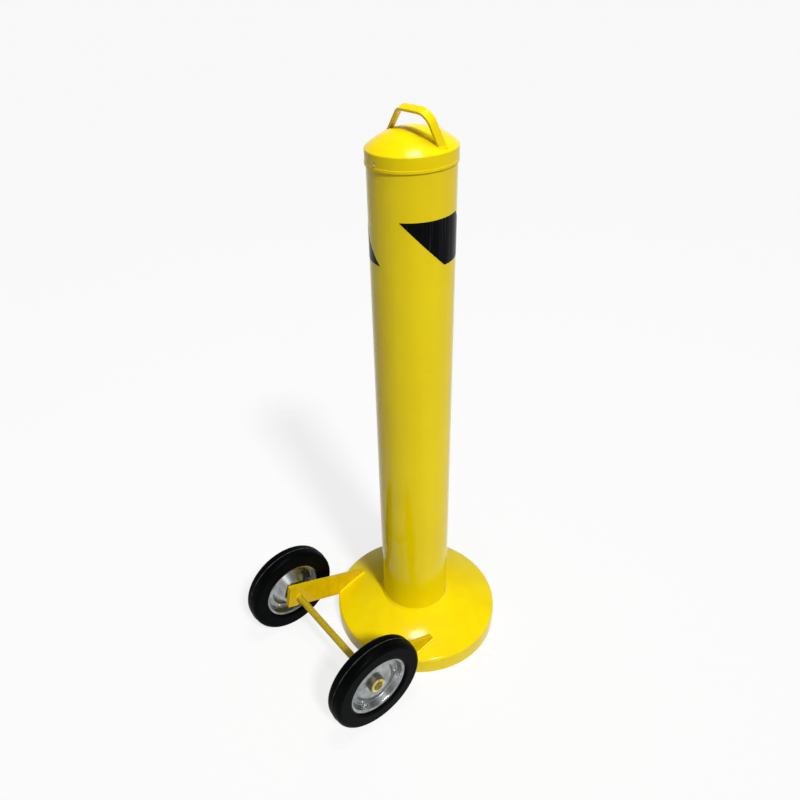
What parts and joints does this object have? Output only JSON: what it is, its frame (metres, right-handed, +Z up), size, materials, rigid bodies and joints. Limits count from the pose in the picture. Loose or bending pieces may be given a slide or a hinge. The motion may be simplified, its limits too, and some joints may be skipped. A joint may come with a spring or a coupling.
{
  "type": "removable bollard",
  "caption": "Free-standing round steel post on a domed base with trailing wheels, an axle on two arms, a screwed cap and a carrying handle.",
  "frame": {"origin": "centre of the base's underside, on the floor", "axes": "+Z up the post, X along the axle, wheels on the -Y side"},
  "size_m": [0.35, 0.5122, 1.1001],
  "materials": {
    "yellow_enamel": "gloss enamel",
    "black_film": "gloss film",
    "screw_steel": "dull plated",
    "washer_steel": "yellow passivated",
    "zinc_disc": "bright zinc plate",
    "hub_steel": "dark plain steel",
    "weld_steel": "worn yellow enamel over weld metal",
    "bush_nylon": "natural nylon",
    "tyre_rubber": "moulded rubber"
  },
  "bodies": {
    "post": {"post_tube": "yellow_enamel", "cap": "yellow_enamel", "cap_handle": "yellow_enamel", "base_dish": "yellow_enamel", "base_plate": "yellow_enamel", "foot_weld": "yellow_enamel", "axle_rod": "yellow_enamel", "axle_welds": "yellow_enamel", "end_welds": "weld_steel", "arm_left": "yellow_enamel", "arm_right": "yellow_enamel", "cap_screws": "screw_steel", "spacer_washers": "washer_steel", "end_washers": "washer_steel", "film_stripe_1": "black_film", "film_stripe_2": "black_film"},
    "wheel_left": {"tyre_left": "tyre_rubber", "outer_disc_left": "zinc_disc", "inner_disc_left": "zinc_disc", "disc_rivets_left": "zinc_disc", "hub_left": "hub_steel", "hub_bushes_left": "bush_nylon"},
    "wheel_right": {"tyre_right": "tyre_rubber", "outer_disc_right": "zinc_disc", "inner_disc_right": "zinc_disc", "disc_rivets_right": "zinc_disc", "hub_right": "hub_steel", "hub_bushes_right": "bush_nylon"}
  },
  "joints": [
    {"name": "wheel_left_spin", "type": "hinge", "parent": "post", "child": "wheel_left", "pos_m": [-0.1525, -0.2356, 0.1016], "axis": [1, 0, 0], "continuous": true},
    {"name": "wheel_right_spin", "type": "hinge", "parent": "post", "child": "wheel_right", "pos_m": [0.1525, -0.2356, 0.1016], "axis": [1, 0, 0], "continuous": true}
  ]
}
